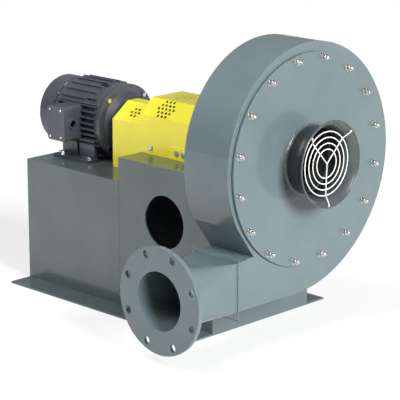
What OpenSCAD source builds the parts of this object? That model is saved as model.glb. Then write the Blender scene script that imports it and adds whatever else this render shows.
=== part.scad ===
// High-pressure radial blower, driven by a foot-mounted motor through a jaw coupling.
// X runs along the shaft toward the inlet, the outlet blows toward -Y, and Z is up.
// The origin is on the floor, in the middle of the four outer foundation bolts.

/* [Shaft line] */
// Height of the shaft line above the floor
shaft_h = 470; // [450:1:520]
// Diameter of the fan shaft in its bearings
shaft_d = 31.75; // [28:0.25:35]

/* [Scroll housing] */
// Width of the housing over both side plates
housing_w = 153; // [145:1:180]
// Radius of the wrap from the cutoff over the top
scroll_r_top = 300; // [290:1:310]
// Growth of the wrap's radius down the far side
scroll_step_side = 17; // [12:1:30]
// Growth of the wrap's radius into the floor of the outlet duct
scroll_step_base = 50; // [36:1:60]
// Sideways offset of the first arc's centre from the shaft
scroll_off_y = 8; // [0:1:16]
// Upward offset of the first arc's centre from the shaft
scroll_off_z = 5; // [0:1:10]
// Angle below the horizontal where the side arc passes into the base arc
scroll_turn = 30; // [20:1:40]
// Thickness of the two side plates
side_t = 5; // [3:0.5:8]
// Thickness of the wrap and the cutoff plate
wrap_t = 4; // [3:0.5:6]
// Drop from the shaft to the crease where the wrap ends and the cutoff begins
heel_drop = 139; // [120:1:150]
// Drop from the shaft to the nose of the cutoff
nose_drop = 220; // [212:1:222]
// Distance of the cutoff nose from the shaft, sideways
nose_y = 196; // [185:1:205]
// Distance from the shaft to the seam where the outlet duct turns round
seam_y = 256; // [240:1:270]
// Drop from the shaft to the top of the duct at that seam
duct_drop = 226; // [224:1:235]

/* [Outlet] */
// Distance from the shaft to the face of the outlet flange
outlet_y = 457; // [420:1:500]
// Drop from the shaft to the centre of the outlet flange
outlet_drop = 296; // [285:1:305]
// Outside diameter of the outlet flange
flange_d = 279.4; // [270:0.1:300]
// Bore of the outlet flange
flange_bore = 152.4; // [140:0.1:160]
// Bolt circle of the outlet flange
flange_pcd = 241.3; // [235:0.1:245]
// Number of bolt holes in the outlet flange
flange_holes = 8; // [4:4:12]
// Diameter of those bolt holes
flange_hole_d = 22.2; // [16:0.1:24]
// Thickness of the outlet flange
flange_t = 12; // [8:0.5:16]
// Wall of the square-to-round duct where it meets the flange
neck_t = 4; // [3:0.5:6]

/* [Inlet cover] */
// Width of the inlet cover's rim over the opening behind it
cover_lap = 28; // [24:1:36]
// Thickness of the inlet cover plate
cover_t = 6; // [4:0.5:10]
// Opening in the housing behind the cover, through which the wheel comes out
cover_open_d = 504; // [494:1:510]
// Thickness of the gasket under the cover
gasket_t = 2; // [1:0.5:4]
// Number of cover studs
stud_count = 16; // [8:4:24]
// Diameter of the cover studs
stud_d = 10; // [8:1:12]
// Length of stud left standing beyond its nut
stud_end = 8; // [4:1:14]

/* [Inlet bell] */
// Throat diameter of the inlet bell
throat_d = 172; // [166:1:184]
// Length of the bell's straight part
bell_straight = 24; // [10:1:30]
// Length over which the bell flares
bell_flare_l = 52; // [40:1:56]
// Radius of the flare's curve
bell_arc_r = 66; // [60:1:80]
// Wall of the bell and of the inlet cone
bell_t = 3; // [2:0.5:4]
// Radius of the rolled bead at the mouth
bead_r = 2.5; // [2:0.5:5]
// Radius of the wire guard's outer ring
grid_r = 83.4; // [75:0.1:88]
// Number of rings in the wire guard
grid_rings = 4; // [3:1:6]
// Diameter of the guard's wire
wire_d = 3.2; // [2.5:0.1:5]

/* [Wheel] */
// Diameter of the wheel
wheel_d = 480; // [460:1:490]
// Diameter of the wheel's eye
eye_d = 170; // [166:1:176]
// Air gap between the housing's back plate and the wheel
wheel_gap = 24; // [18:1:28]
// Blade width at the wheel's rim
tip_w = 46; // [36:1:50]
// Blade width at the wheel's eye
eye_w = 74; // [66:1:76]
// Number of blades
blade_count = 10; // [8:1:14]
// Thickness of the blades
blade_t = 4; // [3:0.5:6]
// Thickness of the wheel's back plate
backplate_t = 5; // [4:0.5:8]
// Thickness of the wheel's front shroud
shroud_t = 3; // [2:0.5:4]

/* [Bearings] */
// Height of the shaft above a bearing block's foot
block_h = 47.6; // [44:0.1:52]
// Length of a bearing block's foot
block_l = 165; // [155:1:175]
// Width of a bearing block's foot
block_w = 48; // [42:1:54]
// Spacing of the two bolts of a bearing block
block_bolt_span = 127; // [120:1:132]
// Bolt diameter of the bearing blocks
block_bolt_d = 12.7; // [10:0.1:14]
// Distance from the housing to the nearer bearing
bearing_near = 74; // [64:1:90]
// Distance between the two bearings
bearing_span = 212; // [180:1:230]

/* [Pedestal] */
// Length of the low part under the motor
motor_base_l = 382; // [370:1:420]
// Length of the high part under the bearings
bearing_base_l = 357; // [345:1:380]
// Width of the pedestal over its walls
base_w = 374; // [340:1:420]
// Thickness of the pedestal's walls
wall_t = 5; // [4:0.5:8]
// Thickness of the two top plates
top_t = 8; // [6:0.5:12]
// Width of the floor flange bent out from each long wall
foot_w = 70; // [60:1:80]
// Diameter of the foundation bolt holes
foot_hole_d = 14; // [12:0.5:18]
// Inset of the outer foundation holes from the motor end
foot_end_inset = 20; // [16:1:40]
// Inset of the inner foundation holes from the seam of the two parts
foot_seam_inset = 40; // [30:1:60]
// Inset of the outer foundation holes from the fan end
foot_fan_inset = 36; // [30:1:60]
// Diameter of the round access hole in the front wall
access_d = 145; // [120:1:160]
// Distance from the fan end to the middle of the access hole
access_in = 180; // [160:1:190]
// Drop from the shaft to the middle of the access hole
access_drop = 196; // [180:1:240]

/* [Motor] */
// Height of the motor's shaft above its feet
motor_h = 114.3; // [110:0.1:118]
// Spacing of the motor's foot bolts across the shaft
motor_bolt_y = 190.5; // [184:0.1:196]
// Spacing of the motor's foot bolts along the shaft
motor_bolt_x = 114.3; // [105:0.1:125]
// Distance from the motor's shaft shoulder to the nearer foot bolts
motor_bolt_back = 69.9; // [66:0.1:74]
// Length of the motor's shaft extension
motor_ext_l = 69.9; // [60:0.1:75]
// Diameter of the motor's shaft extension
motor_shaft_d = 28.6; // [24:0.1:30]
// Diameter over the fins of the motor frame
fin_d = 218; // [212:1:224]
// Diameter of the frame under the fins
barrel_d = 184; // [180:1:190]
// Bore of the motor frame around the stator
stator_d = 168; // [160:1:172]
// Length of the finned frame
frame_l = 178; // [170:1:190]
// Number of fin places around the frame
fin_count = 40; // [32:4:48]
// Thickness of a fin
fin_t = 3; // [2:0.5:4]
// Diameter of the fan cover at its rim
fan_cover_d = 200; // [196:1:204]
// Length of the fan cover
fan_cover_l = 62; // [56:1:70]
// Width of the conduit box along the shaft
box_w = 70; // [60:1:76]
// Height of the conduit box
box_h = 97; // [85:1:105]
// Distance from the shaft to the front of the conduit box
box_out = 165; // [158:1:172]

/* [Coupling] */
// Outside diameter of the coupling hubs
hub_d = 84; // [76:1:90]
// Length of each coupling hub
hub_l = 40; // [34:1:44]
// Gap between the faces of the two hubs, filled by the jaws and the spider
jaw_l = 22; // [18:1:26]
// Thickness of a spider leg between two jaws
leg_t = 10; // [8:0.5:12]

/* [Guards] */
// Thickness of the guards' sheet
guard_t = 2; // [1.5:0.5:3]
// Width of the coupling guard
link_guard_w = 158; // [150:1:170]
// Height of the coupling guard above the shaft
link_guard_h = 66; // [62:1:72]
// Width of the flat top of the coupling guard
link_top_w = 40; // [36:1:60]
// Height above the shaft where the coupling guard's sides fold in
link_fold_h = 22; // [16:1:30]
// Width of the bearing guard
block_guard_w = 200; // [196:1:210]
// Height of the bearing guard above the shaft
block_guard_h = 100; // [90:1:110]
// Width of the flat top of the bearing guard
block_top_w = 114; // [104:1:124]
// Height above the shaft where the bearing guard's sides fold in
block_fold_h = 58; // [50:1:66]
// Diameter of the vent holes in the guards
vent_d = 8; // [6:0.5:9]
// Spacing of the vent holes
vent_pitch = 14; // [12:0.5:16]

/* [Hidden] */

// Fineness of round shapes, of small ones and of the wire rings
round_fn = 96;
small_fn = 32;
wire_fn = 16;
// Overrun of every cut past the face it cuts
over = 1;
// Clearance of a bolt in its hole, on the radius
bolt_gap = 0.5;
// Clearance of a hub on its shaft and of a nut on its thread, on the radius
fit_gap = 0.05;
// Clearance between a ball and its races
ball_gap = 0.1;
// Clearance between soft or loosely fitted pieces
soft_gap = 0.3;
// Width over the corners of a hexagon, as a share of the bolt it belongs to
hex_share = 1.73;
// Height of a bolt head and of a nut, as shares of the bolt
head_share = 0.65;
nut_share = 0.85;

// Stations along the shaft, from the outer foundation bolts
foot_span_x = motor_base_l - foot_end_inset + bearing_base_l - foot_fan_inset;
seam_x = motor_base_l - foot_end_inset - foot_span_x / 2;
end_x = seam_x - motor_base_l;
back_x = seam_x + bearing_base_l;
front_x = back_x + housing_w;
back_in_x = back_x + side_t;
front_in_x = front_x - side_t;
mid_x = (back_x + front_x) / 2;
cover_x = front_x + gasket_t;
face_x = cover_x + cover_t;

// Heights of the two top plates, and place of the foundation holes on the flanges
motor_top_z = shaft_h - motor_h;
block_top_z = shaft_h - block_h;
foot_hole_share = 0.62;
foot_y = base_w / 2 + foot_w * foot_hole_share;

// Turn between two points of the scroll's arcs
facet_turn = 2.5;

// Scroll outline in y and z about the shaft: three arcs, then heel, nose and lip
top_c = [scroll_off_y, scroll_off_z];
scroll_r_side = scroll_r_top + scroll_step_side;
scroll_r_base = scroll_r_side + scroll_step_base;
side_c = [scroll_off_y, scroll_off_z - scroll_step_side];
base_c = side_c + scroll_step_base * [-cos(scroll_turn), sin(scroll_turn)];
base_z = base_c[1] - scroll_r_base;
heel_y = top_c[0] - sqrt(pow(scroll_r_top, 2) - pow(heel_drop + top_c[1], 2));
heel = [heel_y, -heel_drop];
heel_a = 360 + atan2(heel[1] - top_c[1], heel[0] - top_c[0]);
nose = [-nose_y, -nose_drop];
lip = [-seam_y, -duct_drop];

// Outlet duct
slice_t = 1;
flange_back_y = -outlet_y + flange_t;
neck_r = flange_bore / 2 + neck_t;
hole_turn = 180 / flange_holes;

// Cover over its opening, with the studs, washers and nuts in the middle of its rim
cover_d = cover_open_d + 2 * cover_lap;
stud_pcd = cover_open_d + cover_lap;
stud_washer_t = 2;
stud_washer_d = 21;
stud_nut_t = 9;
stud_turn = 180 / stud_count;
stud_l = gasket_t + cover_t + stud_washer_t + stud_nut_t + stud_end;

// Inlet bell, measured outward from the cover
bell_r = throat_d / 2;
bell_c = [bell_r + bell_arc_r, bell_straight];
bell_a = asin(bell_flare_l / bell_arc_r);
bead_c = bell_c - (bell_arc_r - bell_t / 2) * [cos(bell_a), -sin(bell_a)];

// Wire guard set into the bell, its spokes lying behind its rings
grid_in = 16;
grid_x = bell_straight + bell_flare_l - grid_in;
grid_share = 0.45;
grid_step_share = (1 - grid_share) / (grid_rings - 1);
// Spokes from the middle over the rings and out to the rim of the bell
spoke_turns = [44, 133, 268];
spoke_end_r = bead_c[0] - bead_r - wire_d / 2 - soft_gap;
bell_fillet = 6;

// Wheel, from its back plate toward the inlet
wheel_r = wheel_d / 2;
eye_r = eye_d / 2;
wheel_x = back_in_x + wheel_gap;
blade_x = wheel_x + backplate_t;
shroud_neck_l = 8;
cone_lap = 9;
cone_run = 3;
cone_nose_l = 8;
cone_end_r = eye_r - cone_run;
cone_end_x = blade_x + eye_w + shroud_t + shroud_neck_l - cone_lap;
hub_body_r = 34;
hub_body_l = 50;
hub_flange_r = 62;
hub_flange_t = 10;
hub_fillet = 4;
hub_bolt_r = 50;
hub_bolt_d = 8;
hub_bolt_count = 6;
end_washer_r = 26;
end_washer_t = 5;
end_bolt_d = 12;
end_bolt_l = 30;
tip_in = 2;
blade_in = 10;
blade_in_r = eye_r + blade_in;
// Radius of a blade's curve and distance of its centre, as shares of the wheel's radius
blade_curve_share = 1.4;
blade_centre_share = 1.078;

// Shaft and its keys
shaft_r = shaft_d / 2;
shoulder_step = 3;
shoulder_r = shaft_r + shoulder_step;
shoulder_back = 50;
shaft_tip_in = 2;
key_w = 6.4;
key_h = 6.4;
key_in = 3.7;
key_inset = 4;
key_top_gap = 0.3;

// Bearings and their blocks
near_x = back_x - bearing_near;
far_x = near_x - bearing_span;
block_foot_t = 16;
block_r = 44;
block_body_w = 38;
block_waist_share = 0.31;
block_crown_share = 0.24;
collar_l = 14;
// Journals of the motor's two bearings
drive_journal_r = 15;
rear_journal_r = 12.5;
// Races of a bearing: bore, ball pitch, ball, outside radius and width
fan_race = [shaft_r + fit_gap, 24.5, 5, 31, 18];
drive_race = [drive_journal_r + fit_gap, 23, 4.7, 31, 16];
rear_race = [rear_journal_r + fit_gap, 19.25, 3.95, 26, 15];
ball_count = 8;
land_share = 0.45;

// Seal where the shaft enters the housing
seal_r = 44;
seal_hole_r = 30;
seal_plate_t = 3;
seal_bore_gap = 2;

// Coupling, from the end of the motor's shaft
motor_end_in = 80;
motor_end_x = seam_x - motor_end_in;
fan_end_x = motor_end_x + jaw_l;
hub_r = hub_d / 2;
jaw_count = 3;
jaw_in_r = 17;
jaw_end_gap = 1;
spider_r = 16;
spider_bore_r = 9;

// Motor stations
motor_shaft_r = motor_shaft_d / 2;
motor_face_x = motor_end_x - motor_ext_l;
front_bolt_x = motor_face_x - motor_bolt_back;
rear_bolt_x = front_bolt_x - motor_bolt_x;
drive_bell_l = 30;
frame_x1 = motor_face_x - drive_bell_l;
frame_x0 = frame_x1 - frame_l;
fan_bell_l = 14;
fan_bell_x = frame_x0 - fan_bell_l;
fan_cover_in = 10;
fan_cover_x = frame_x0 - fan_cover_in;

// Stator, windings and rotor
core_l = 110;
core_x = frame_x0 + (frame_l - core_l) / 2;
core_end_x = core_x + core_l;
air_gap = 0.6;
rotor_r = 52;
rotor_bore_r = 17.5;
stator_r = stator_d / 2;
winding_l = 22;
winding_in_r = 58;
winding_w = 22;
winding_round = 5;

// Frame, fins and feet
barrel_r = barrel_d / 2;
fin_r = fin_d / 2;
fin_end = 4;
fin_root = 2;
fin_pitch_a = 360 / fin_count;
frame_rim_l = 12;
frame_rim_r = 102;
// Angles about the shaft left free of fins, behind the webs of the two feet and under the ribbed shell
fin_free = [[30, 150], [222, 250], [290, 318]];
// Ribbed shell over the top of the frame, with pockets toward the drive end
shell_r = 103;
shell_a = 60;
shell_in = 8;
rib_r = 109;
rib_w = 5;
rib_step = 13;
rib_in = 16;
rib_nose = 34;
pocket_w = 15;
pocket_l = 40;
pocket_deep = 9;
pocket_x = frame_x1 - 62;
pocket_turns = [-54, -18, 18, 54];
motor_foot_t = 10;
motor_foot_in = 74;
motor_foot_out = 114.3;
motor_foot_over = 16;
web_t = 10;
web_drop = 40;
web_in = 6;
web_l = 62;
motor_bolt_d = 10;

// Endbells and their bolts
drive_rim_r = 105;
drive_rim_l = 14;
drive_slope_r = 62;
drive_slope_l = 24;
drive_hub_r = 46;
drive_skin = 6;
drive_race_in = 8;
drive_race_x = frame_x1 + drive_race_in + drive_race[4] / 2;
rear_hub_r = 38;
rear_slope_r = 70;
rear_skin = 5;
rear_race_in = 5;
rear_race_x = fan_bell_x + rear_race_in + rear_race[4] / 2;
shaft_pass_gap = 0.6;
bell_bolt_count = 4;
bell_bolt_turn = 45;
bell_bolt_d = 8;
bell_bolt_in = 8;
bell_bolt_r = 94;
rear_bolt_r = 91;

// Rear shaft, cooling fan and its cover
rear_shaft_r = 11;
rear_shaft_l = 36;
rear_step_r = 15;
fin_fan_r = 82;
fin_fan_hub_r = 22;
fin_fan_l = 24;
fin_fan_gap = 5;
fin_fan_blades = 6;
fin_fan_t = 3;
fin_fan_disc_share = 0.8;
fan_cover_r = fan_cover_d / 2;
fan_cover_t = 2;
fan_cover_round = 10;
rear_rim_r = fan_cover_r - fan_cover_t - soft_gap;
fan_slot_count = 4;
fan_slot_w = 8;
fan_slot_pitch = 16;
fan_slot_first_r = 18;
fan_slot_bar = 9;
fan_slot_bars = 4;

// Conduit box
box_wall = 4;
box_back_y = 100;
box_lid_l = 12;
box_from_face = 64;
box_x1 = frame_x1 - box_from_face;
box_x0 = box_x1 - box_w;
box_z0 = shaft_h - box_h / 2;
box_z1 = shaft_h + box_h / 2;
box_pad_in = 12;
box_pad_over = 4;
box_hub_r = 15;
box_hub_l = 6;
box_hub_bore_r = 10.5;
box_hub_in = 29;
box_round = 8;

// Guards and their vents
link_guard_gap = 12;
link_guard_x = motor_face_x + link_guard_gap;
block_guard_gap = 8;
block_guard_x1 = back_x - seal_plate_t - block_guard_gap;
fold_share = 0.41;
vent_fn = 16;
vent_row_share = 0.866;
block_vent_x = 76;
block_vent_rows = 5;
link_vent_x = 76;
link_vent_rows = 3;

// Access tab, brackets and screws of the bearing guard, from the seam toward the housing
tab_w = 64;
tab_h = 34;
tab_x = 116;
tab_t = 2;
bracket_t = 3;
bracket_side = 12;
bracket_h = 34;
bracket_foot = 14;
screw_d = 6;
screw_up = 20;
screw_head_r = 7;
screw_head_t = 4;
screw_l = 10;
screw_x = [38, 140, 164];

// A flat shape of radius and length, turned about the shaft line from x
module turned(x, seg = round_fn) {
    translate([x, 0, shaft_h]) rotate([0, 90, 0]) rotate_extrude($fn = seg) children();
}

// A flat shape of y and z about the shaft line, given a length along the shaft
module across(x, len) {
    translate([x, 0, shaft_h]) rotate([90, 0, 90]) linear_extrude(len) children();
}

// A plain ring about the shaft line
module ring(x, len, r_in, r_out) {
    turned(x) translate([r_in, 0]) square([r_out - r_in, len]);
}

// A bore along the shaft line, cut past both ends
module bore(x, len, r) {
    translate([x - over, 0, shaft_h]) rotate([0, 90, 0])
        cylinder(h = len + 2 * over, r = r, $fn = round_fn);
}

// Copies of a small feature on a circle about the shaft line
module on_circle(count, r, turn = 0) {
    for (i = [0 : count - 1])
        translate([0, 0, shaft_h]) rotate([i * 360 / count + turn, 0, 0])
            translate([0, r, 0]) children();
}

// A round rod along the shaft direction, from x
module rod_x(x, len, r, seg = small_fn) {
    translate([x, 0, 0]) rotate([0, 90, 0]) cylinder(h = len, r = r, $fn = seg);
}

// A round rod across the shaft, from y
module rod_y(y, len, r) {
    translate([0, y, 0]) rotate([-90, 0, 0]) cylinder(h = len, r = r, $fn = small_fn);
}

// A hexagonal head or nut along the shaft direction, from x
module hex_x(x, len, d) {
    translate([x, 0, 0]) rotate([0, 90, 0]) cylinder(h = len, d = d * hex_share, $fn = 6);
}

// A box between two x, two y and two z
module span(x0, x1, y0, y1, z0, z1) {
    translate([x0, y0, z0]) cube([x1 - x0, y1 - y0, z1 - z0]);
}

// A bolt with its head standing on z = 0 and its shank going down
module bolt_down(d, len) {
    cylinder(h = d * head_share, d = d * hex_share, $fn = 6);
    translate([0, 0, -len]) cylinder(h = len + d * head_share / 2, d = d, $fn = small_fn);
}

// The nut of that bolt, hung under z = 0
module nut_down(d) {
    translate([0, 0, -d * nut_share]) difference() {
        cylinder(h = d * nut_share, d = d * hex_share, $fn = 6);
        translate([0, 0, -over])
            cylinder(h = d * nut_share + 2 * over, r = d / 2 + fit_gap, $fn = small_fn);
    }
}

// The part of a disc between two angles
module sector(c, r, a0, a1) {
    step = (a1 - a0) / 3;
    translate(c) intersection() {
        circle(r = r, $fn = 2 * round_fn);
        polygon(concat([[0, 0]], [for (i = [0 : 3]) 2 * r * [cos(a0 + i * step), sin(a0 + i * step)]]));
    }
}

// A curved band inside that sector's rim
module band(c, r, t, a0, a1) {
    difference() {
        sector(c, r, a0, a1);
        translate(c) circle(r = r - t, $fn = 2 * round_fn);
    }
}

// Points along an arc, without its first one
function arc_points(c, r, a0, a1) =
    let (n = ceil(abs(a1 - a0) / facet_turn))
    [for (i = [1 : n]) c + r * [cos(a0 + i * (a1 - a0) / n), sin(a0 + i * (a1 - a0) / n)]];

// The curve of the scroll from the heel round to the seam of the duct, drawn in by a depth
function scroll_curve(in) = concat(
    [top_c + (scroll_r_top - in) * [cos(heel_a), sin(heel_a)]],
    arc_points(top_c, scroll_r_top - in, heel_a, 90),
    arc_points(side_c, scroll_r_side - in, 90, -scroll_turn),
    arc_points(base_c, scroll_r_base - in, -scroll_turn, -90),
    [[-seam_y, base_z + in]]
);

// A list of points from its end to its start
function turned_back(points) = [for (i = [len(points) - 1 : -1 : 0]) points[i]];

// The side view of the housing as far as the seam of the duct
module scroll_outline() {
    polygon(concat(scroll_curve(0), [lip, nose]));
}

module scroll_wrap() {
    color("slategray") across(back_in_x, housing_w - 2 * side_t)
        polygon(concat(scroll_curve(0), turned_back(scroll_curve(wrap_t))));
}

module scroll_back_plate() {
    color("slategray") difference() {
        across(back_x, side_t) scroll_outline();
        bore(back_x, side_t, seal_hole_r);
    }
}

module scroll_front_plate() {
    color("slategray") difference() {
        across(front_in_x, side_t) scroll_outline();
        bore(front_in_x, side_t, cover_open_d / 2);
    }
}

// Turns a direction into the unit vector a quarter turn to its left
function left_of(p, q) = let(d = q - p) [-d[1], d[0]] / norm(d);
heel_in = left_of(heel, nose);
lip_in = left_of(nose, lip);
heel_ray = (top_c - heel) / scroll_r_top;

// Heel, nose and lip drawn into the housing by a depth
function heel_at(in) = heel + heel_ray * in / (heel_ray * heel_in);
function nose_at(in) = nose + in * (heel_in + lip_in) / (1 + heel_in * lip_in);
function lip_at(in) = lip + [0, in / lip_in[1]];

module cutoff_plate() {
    color("slategray") across(back_in_x, housing_w - 2 * side_t)
        polygon([heel, nose, lip, lip_at(wrap_t), nose_at(wrap_t), heel_at(wrap_t)]);
}

// The solid form between the duct's square end and the flange's round one
module duct_form(y0, y1, x0, x1, z0, z1, r) {
    hull() {
        span(x0, x1, y0 - slice_t, y0, z0, z1);
        translate([mid_x, y1 + slice_t, shaft_h - outlet_drop]) rotate([90, 0, 0])
            cylinder(h = slice_t, r = r, $fn = round_fn / 2);
    }
}

module outlet_transition() {
    color("slategray") difference() {
        duct_form(-seam_y, flange_back_y, back_x, front_x, shaft_h + base_z, shaft_h - duct_drop, neck_r);
        duct_form(-seam_y + over, flange_back_y - over, back_in_x, front_in_x,
            shaft_h + base_z + wrap_t, shaft_h - duct_drop - wrap_t, flange_bore / 2);
    }
}

module outlet_flange() {
    color("slategray") translate([mid_x, -outlet_y, shaft_h - outlet_drop]) rotate([-90, 0, 0])
        difference() {
            cylinder(h = flange_t, d = flange_d, $fn = round_fn);
            translate([0, 0, -over]) cylinder(h = flange_t + 2 * over, d = flange_bore, $fn = round_fn);
            for (i = [0 : flange_holes - 1]) rotate(i * 360 / flange_holes + hole_turn)
                translate([flange_pcd / 2, 0, -over])
                    cylinder(h = flange_t + 2 * over, d = flange_hole_d, $fn = small_fn);
        }
}

module cover_gasket() {
    color("dimgray") difference() {
        ring(front_x, gasket_t, cover_open_d / 2, cover_d / 2);
        on_circle(stud_count, stud_pcd / 2, stud_turn)
            rod_x(front_x - over, gasket_t + 2 * over, stud_d / 2 + bolt_gap);
    }
}

module inlet_cover_plate() {
    color("slategray") difference() {
        ring(cover_x, cover_t, bell_r, cover_d / 2);
        on_circle(stud_count, stud_pcd / 2, stud_turn)
            rod_x(cover_x - over, cover_t + 2 * over, stud_d / 2 + bolt_gap);
    }
}

module cover_studs() {
    color("silver") on_circle(stud_count, stud_pcd / 2, stud_turn) rod_x(front_x, stud_l, stud_d / 2);
}

module cover_washers() {
    color("silver") on_circle(stud_count, stud_pcd / 2, stud_turn) difference() {
        rod_x(face_x, stud_washer_t, stud_washer_d / 2);
        rod_x(face_x - over, stud_washer_t + 2 * over, stud_d / 2 + bolt_gap);
    }
}

module cover_nuts() {
    nut_x = face_x + stud_washer_t;
    color("silver") on_circle(stud_count, stud_pcd / 2, stud_turn) difference() {
        hex_x(nut_x, stud_nut_t, stud_d);
        rod_x(nut_x - over, stud_nut_t + 2 * over, stud_d / 2 + fit_gap);
    }
}

module inlet_bell() {
    color("slategray") turned(face_x) {
        translate([bell_r, 0]) square([bell_t, bell_straight]);
        band(bell_c, bell_arc_r, bell_t, 180 - bell_a, 180);
        difference() {
            translate([bell_r + bell_t, 0]) square(bell_fillet);
            translate([bell_r + bell_t + bell_fillet, bell_fillet]) circle(r = bell_fillet, $fn = round_fn);
        }
        translate(bead_c) circle(r = bead_r, $fn = small_fn);
    }
}

module inlet_cone() {
    cone_l = cover_x - cone_end_x;
    color("slategray") turned(cone_end_x) polygon([
        [cone_end_r - bell_t, 0], [cone_end_r, 0], [cone_end_r, cone_nose_l],
        [bell_r + bell_t, cone_l], [bell_r, cone_l], [cone_end_r - bell_t, cone_nose_l]
    ]);
}

// A spoke of the wire guard: along the rings, then forward to the rim of the bell
module guard_spoke() {
    run = [spoke_end_r - grid_r, bead_c[1] - grid_x];
    translate([face_x + grid_x + wire_d / 2, 0, 0]) rotate([-90, 0, 0])
        cylinder(h = grid_r + wire_d / 2, d = wire_d, $fn = wire_fn);
    translate([face_x + grid_x + wire_d / 2, grid_r, 0]) rotate([0, 0, -atan2(run[1], run[0])]) rotate([-90, 0, 0])
        cylinder(h = norm(run), d = wire_d, $fn = wire_fn);
}

module inlet_wire_guard() {
    color("silver") {
        for (i = [0 : grid_rings - 1]) turned(face_x + grid_x, 2 * small_fn)
            translate([grid_r * (grid_share + i * grid_step_share), 0]) circle(d = wire_d, $fn = wire_fn);
        for (a = spoke_turns) translate([0, 0, shaft_h]) rotate([a, 0, 0]) guard_spoke();
    }
}

// Seal where the shaft enters the housing

module shaft_seal_plate() {
    color("silver") ring(back_x - seal_plate_t, seal_plate_t, shoulder_r + seal_bore_gap, seal_r);
}

module shaft_seal_felt() {
    color("tan") ring(back_x, side_t, shoulder_r + soft_gap, seal_hole_r);
}

// The wheel

module hub_bolt_holes(x, len) {
    on_circle(hub_bolt_count, hub_bolt_r)
        rod_x(x - over, len + 2 * over, hub_bolt_d / 2 + bolt_gap);
}

module wheel_backplate() {
    color("gray") difference() {
        ring(wheel_x, backplate_t, shaft_r + fit_gap, wheel_r);
        hub_bolt_holes(wheel_x, backplate_t);
    }
}

module wheel_shroud() {
    color("gray") turned(blade_x) polygon([
        [eye_r, eye_w], [wheel_r, tip_w], [wheel_r, tip_w + shroud_t],
        [eye_r + shroud_t, eye_w + shroud_t], [eye_r + shroud_t, eye_w + shroud_t + shroud_neck_l],
        [eye_r, eye_w + shroud_t + shroud_neck_l]
    ]);
}

// One blade seen along the shaft, its tip trailing the turn of the wheel
module blade_outline() {
    curve_r = wheel_r * blade_curve_share;
    intersection() {
        difference() {
            circle(r = wheel_r - tip_in, $fn = round_fn);
            circle(r = blade_in_r, $fn = round_fn);
        }
        translate([wheel_r * blade_centre_share, 0]) difference() {
            circle(r = curve_r + blade_t, $fn = 2 * round_fn);
            circle(r = curve_r, $fn = 2 * round_fn);
        }
        translate([-wheel_r, -wheel_r]) square([2 * wheel_r, wheel_r]);
    }
}

module wheel_blades() {
    color("gray") intersection() {
        across(blade_x, eye_w) for (i = [0 : blade_count - 1])
            rotate(i * 360 / blade_count) blade_outline();
        turned(blade_x) polygon([[0, 0], [wheel_r, 0], [wheel_r, tip_w], [eye_r, eye_w], [0, eye_w]]);
    }
}

module wheel_hub() {
    color("dimgray") difference() {
        turned(blade_x) polygon([
            [shaft_r + fit_gap, 0], [hub_flange_r, 0], [hub_flange_r, hub_flange_t],
            [hub_body_r + hub_fillet, hub_flange_t], [hub_body_r, hub_flange_t + hub_fillet],
            [hub_body_r, hub_body_l - hub_fillet], [hub_body_r - hub_fillet, hub_body_l],
            [shaft_r + fit_gap, hub_body_l]
        ]);
        hub_bolt_holes(blade_x, hub_flange_t);
        keyway(blade_x, hub_body_l, shaft_r, key_w);
    }
}

module wheel_hub_bolts() {
    head_x = blade_x + hub_flange_t;
    nut_t = hub_bolt_d * nut_share;
    color("silver") on_circle(hub_bolt_count, hub_bolt_r) {
        hex_x(head_x, hub_bolt_d * head_share, hub_bolt_d);
        rod_x(wheel_x - nut_t, head_x - wheel_x + nut_t + slice_t, hub_bolt_d / 2);
        difference() {
            hex_x(wheel_x - nut_t, nut_t, hub_bolt_d);
            rod_x(wheel_x - nut_t - over, nut_t + 2 * over, hub_bolt_d / 2 + fit_gap);
        }
    }
}

module wheel_end_washer() {
    color("silver") ring(blade_x + hub_body_l, end_washer_t, end_bolt_d / 2 + bolt_gap, end_washer_r);
}

module wheel_end_bolt() {
    head_x = blade_x + hub_body_l + end_washer_t;
    color("silver") translate([0, 0, shaft_h]) {
        hex_x(head_x, end_bolt_d * head_share, end_bolt_d);
        rod_x(head_x - end_bolt_l, end_bolt_l + slice_t, end_bolt_d / 2);
    }
}

// Fan shaft with its keys

// A key lying half in a shaft of radius r
module key(x, len, r, w) {
    span(x, x + len, -w / 2, w / 2, shaft_h + r - key_in, shaft_h + r - key_in + key_h);
}

// The keyway that it leaves in a hub, cut through both ends
module keyway(x, len, r, w) {
    span(x - over, x + len + over, -w / 2 - fit_gap, w / 2 + fit_gap,
        shaft_h, shaft_h + r - key_in + key_h + key_top_gap);
}

module fan_shaft_keys() {
    color("silver") {
        key(blade_x + key_inset, hub_body_l - 3 * key_inset, shaft_r, key_w);
        key(fan_end_x + key_inset, hub_l - 2 * key_inset, shaft_r, key_w);
    }
}

module fan_shaft() {
    tip_x = blade_x + hub_body_l - shaft_tip_in;
    color("silver") difference() {
        translate([0, 0, shaft_h]) {
            rod_x(fan_end_x, tip_x - fan_end_x, shaft_r, round_fn);
            rod_x(back_x - shoulder_back, wheel_x - back_x + shoulder_back, shoulder_r, round_fn);
        }
        fan_shaft_keys();
        translate([0, 0, shaft_h]) rod_x(tip_x - end_bolt_l, end_bolt_l + over, end_bolt_d / 2 + fit_gap);
    }
}

// Bearings

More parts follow.
